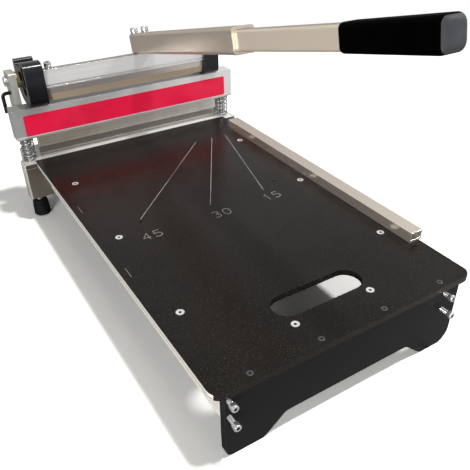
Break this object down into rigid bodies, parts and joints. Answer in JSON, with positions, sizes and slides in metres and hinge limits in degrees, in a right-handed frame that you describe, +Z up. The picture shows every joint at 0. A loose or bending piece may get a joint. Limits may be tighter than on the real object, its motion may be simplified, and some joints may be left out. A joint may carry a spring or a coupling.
{
  "type": "laminate cutter",
  "caption": "Bench guillotine for laminate floor boards: a lever turns cams that press a sprung blade down on a bed, beside a work table with a fence, a carry slot and a telescopic handle.",
  "frame": {"origin": "centre of the work table's top face", "axes": "+Z up, out of the table; +X to the fence side; +Y from the front leg to the blade"},
  "size_m": [0.404, 0.6898, 0.4211],
  "materials": {
    "black_panel": "fine texture, satin",
    "aluminium": "satin extrusion",
    "champagne_aluminium": "satin anodised",
    "steel": "bright",
    "blade_steel": "ground",
    "black_steel": "black oxide",
    "black_plastic": "satin",
    "rubber": "matte",
    "brass": "plain",
    "red_label": "glossy film",
    "grip_foam": "soft, smooth"
  },
  "bodies": {
    "base": {"worktable": "black_panel", "front_leg": "black_panel", "leg_brace": "aluminium", "rail_left": "aluminium", "rail_right": "aluminium", "base_beam": "aluminium", "beam_end_left": "aluminium", "beam_end_right": "aluminium", "fence": "aluminium", "post_left": "aluminium", "post_right": "aluminium", "table_screw_1": "steel", "table_screw_2": "steel", "table_screw_3": "steel", "table_screw_4": "steel", "table_screw_5": "steel", "table_screw_6": "steel", "table_screw_7": "steel", "table_screw_8": "steel", "rail_bolt_left_upper": "steel", "rail_bolt_left_lower": "steel", "rail_bolt_right_upper": "steel", "rail_bolt_right_lower": "steel", "foot_stud_left": "steel", "foot_stud_right": "steel", "post_bolt_left": "steel", "post_bolt_right": "steel", "pivot_bolt_left": "steel", "pivot_bolt_right": "steel", "guide_rod_left": "steel", "guide_rod_right": "steel", "return_spring_left": "steel", "return_spring_right": "steel", "hex_key": "black_steel", "rear_foot_left": "rubber", "rear_foot_right": "rubber", "pivot_collar_left": "brass", "pivot_collar_right": "brass"},
    "carrier": {"blade_carrier": "aluminium", "blade_clamp_bar": "aluminium", "cutting_blade": "blade_steel", "label_plate": "red_label", "blade_screw_1": "steel", "blade_screw_2": "steel", "blade_screw_3": "steel", "guide_bush_left": "brass", "guide_bush_right": "brass"},
    "cam_lever": {"cam_tube": "aluminium", "cam_cheek_left": "black_plastic", "cam_cheek_right": "black_plastic", "cheek_bush_left": "brass", "cheek_bush_right": "brass", "cam_set_screw_left": "steel", "cam_set_screw_right": "steel", "lever_arm": "champagne_aluminium", "lever_collar": "aluminium", "lever_bolt_left": "steel", "lever_bolt_right": "steel"},
    "extension": {"lever_extension": "champagne_aluminium", "grip": "grip_foam"}
  },
  "joints": [
    {"name": "lever_swing", "type": "hinge", "parent": "base", "child": "cam_lever", "pos_m": [0, 0.3403, 0.124], "axis": [-1, 0, 0], "range_deg": [0, 70]},
    {"name": "carrier_slide", "type": "slide", "parent": "base", "child": "carrier", "axis": [0, 0, 1], "range_m": [0, 0.017], "deforming": ["return_spring_left", "return_spring_right"]},
    {"name": "lever_extension_slide", "type": "slide", "parent": "cam_lever", "child": "extension", "axis": [0, -0.9744, 0.225], "range_m": [-0.1, 0.05]}
  ],
  "couplings": [
    {"joint": "carrier_slide", "follows": "lever_swing", "m_per_rad": 0.013845}
  ]
}
